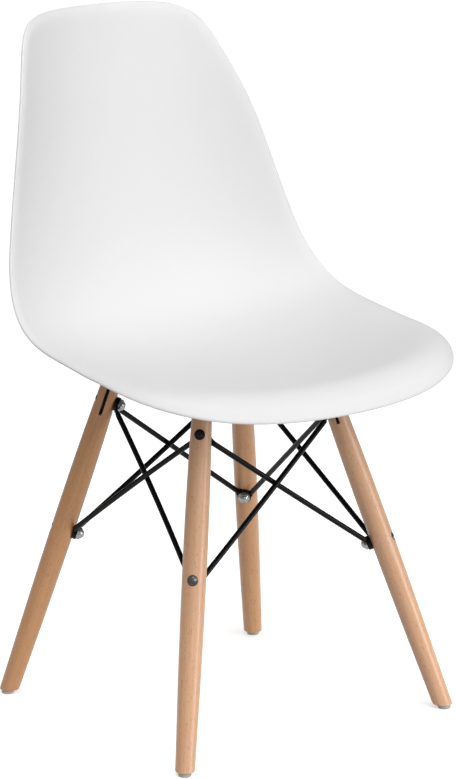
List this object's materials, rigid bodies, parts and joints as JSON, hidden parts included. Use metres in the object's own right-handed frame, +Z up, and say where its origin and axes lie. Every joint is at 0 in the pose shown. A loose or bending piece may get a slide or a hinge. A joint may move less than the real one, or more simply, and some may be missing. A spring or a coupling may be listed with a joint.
{
  "type": "dining chair",
  "caption": "Dining chair with a white moulded plastic bucket shell on splayed turned beech legs braced by crossed black steel rods.",
  "frame": {"origin": "on the floor, under the middle of the chair's overall width and depth", "axes": "+Z up, -Y toward the front of the seat, +X toward the sitter's left"},
  "size_m": [0.4742, 0.5109, 0.81],
  "materials": {
    "shell_plastic": "satin moulded polypropylene, off-white",
    "beech": "satin lacquered beech",
    "black_steel": "semi-gloss black powder coat",
    "black_bolts": "black oxide steel",
    "dark_zinc": "dull dark zinc",
    "bright_zinc": "bright zinc plate",
    "brass": "machined brass",
    "glide_plastic": "grey translucent plastic"
  },
  "bodies": {
    "root": {"brace_rod_front_inner": "black_steel", "brace_rod_front_outer": "black_steel", "brace_rod_left_inner": "black_steel", "brace_rod_left_outer": "black_steel", "brace_rod_rear_inner": "black_steel", "brace_rod_rear_outer": "black_steel", "brace_rod_right_inner": "black_steel", "brace_rod_right_outer": "black_steel", "floor_glide_front_left": "glide_plastic", "floor_glide_front_right": "glide_plastic", "floor_glide_rear_left": "glide_plastic", "floor_glide_rear_right": "glide_plastic", "glide_nails": "bright_zinc", "leg_front_left": "beech", "leg_front_right": "beech", "leg_rear_left": "beech", "leg_rear_right": "beech", "lower_bolt_washers": "bright_zinc", "lower_cap_nuts": "bright_zinc", "lower_leg_bolts": "dark_zinc", "seat_bracket_front_left": "black_steel", "seat_bracket_front_right": "black_steel", "seat_bracket_rear_left": "black_steel", "seat_bracket_rear_right": "black_steel", "seat_screw_washers": "bright_zinc", "seat_screws": "bright_zinc", "seat_shell": "shell_plastic", "threaded_inserts": "brass", "upper_bolt_washers": "bright_zinc", "upper_cap_nuts": "bright_zinc", "upper_leg_bolts": "black_bolts"}
  },
  "joints": []
}
